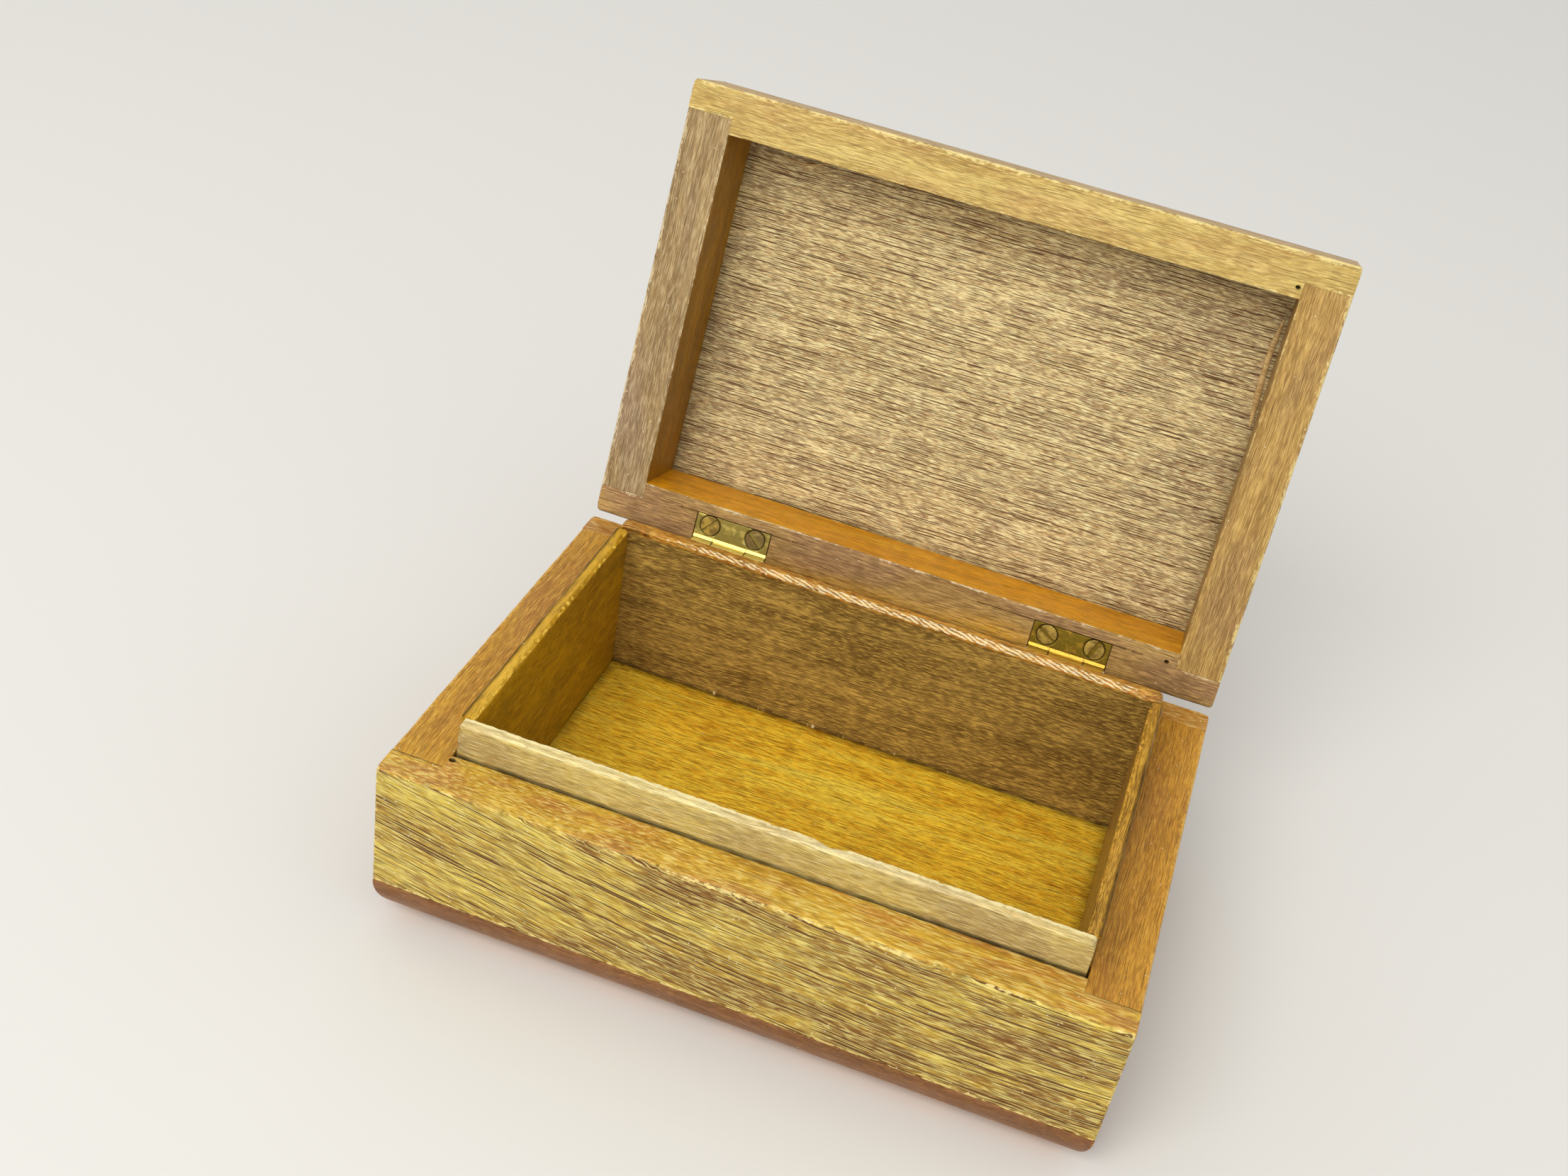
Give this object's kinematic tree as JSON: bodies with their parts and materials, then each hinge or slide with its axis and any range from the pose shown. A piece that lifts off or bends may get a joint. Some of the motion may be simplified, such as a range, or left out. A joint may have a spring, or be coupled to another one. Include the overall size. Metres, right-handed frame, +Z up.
{
  "type": "hinged-lid wooden box",
  "caption": "Small open wooden keepsake box with rabbeted walls, proud inner liner strips and a deep framed lid on brass butt hinges.",
  "frame": {"origin": "centre of the flat underside", "axes": "+X to the right along the length, +Y to the hinged back, +Z up"},
  "size_m": [0.152, 0.1621, 0.1388],
  "materials": {
    "walls": "stained hardwood with open pores, satin",
    "bottom_board": "stained hardwood, golden inside, reddish at the rounded edge, satin",
    "liner_strips": "thin sawn hardwood strips, stained, rough along the top edge",
    "lid_rails": "stained hardwood with open pores, satin",
    "lid_board": "stained hardwood with short dark pores, satin",
    "brass_leaves": "aged brass, dull olive patina, rubbed bright at the knuckles",
    "brass_pins": "drawn brass wire",
    "brass_screws": "aged slotted brass, dark in the slots"
  },
  "bodies": {
    "base": {"bottom_board": "bottom_board", "front_wall": "walls", "back_wall": "walls", "left_wall": "walls", "right_wall": "walls", "front_liner": "liner_strips", "back_liner": "liner_strips", "left_liner": "liner_strips", "right_liner": "liner_strips", "left_hinge_base_leaf": "brass_leaves", "left_hinge_pin": "brass_pins", "left_hinge_base_screw_outer": "brass_screws", "left_hinge_base_screw_inner": "brass_screws", "right_hinge_base_leaf": "brass_leaves", "right_hinge_pin": "brass_pins", "right_hinge_base_screw_outer": "brass_screws", "right_hinge_base_screw_inner": "brass_screws"},
    "lid": {"lid_top_board": "lid_board", "lid_front_rail": "lid_rails", "lid_back_rail": "lid_rails", "lid_left_rail": "lid_rails", "lid_right_rail": "lid_rails", "left_hinge_lid_leaf": "brass_leaves", "left_hinge_lid_screw_outer": "brass_screws", "left_hinge_lid_screw_inner": "brass_screws", "right_hinge_lid_leaf": "brass_leaves", "right_hinge_lid_screw_outer": "brass_screws", "right_hinge_lid_screw_inner": "brass_screws"}
  },
  "joints": [
    {"name": "lid_hinge", "type": "hinge", "parent": "base", "child": "lid", "pos_m": [0, 0.0524, 0.04], "axis": [1, 0, 0], "range_deg": [0, 108]}
  ]
}
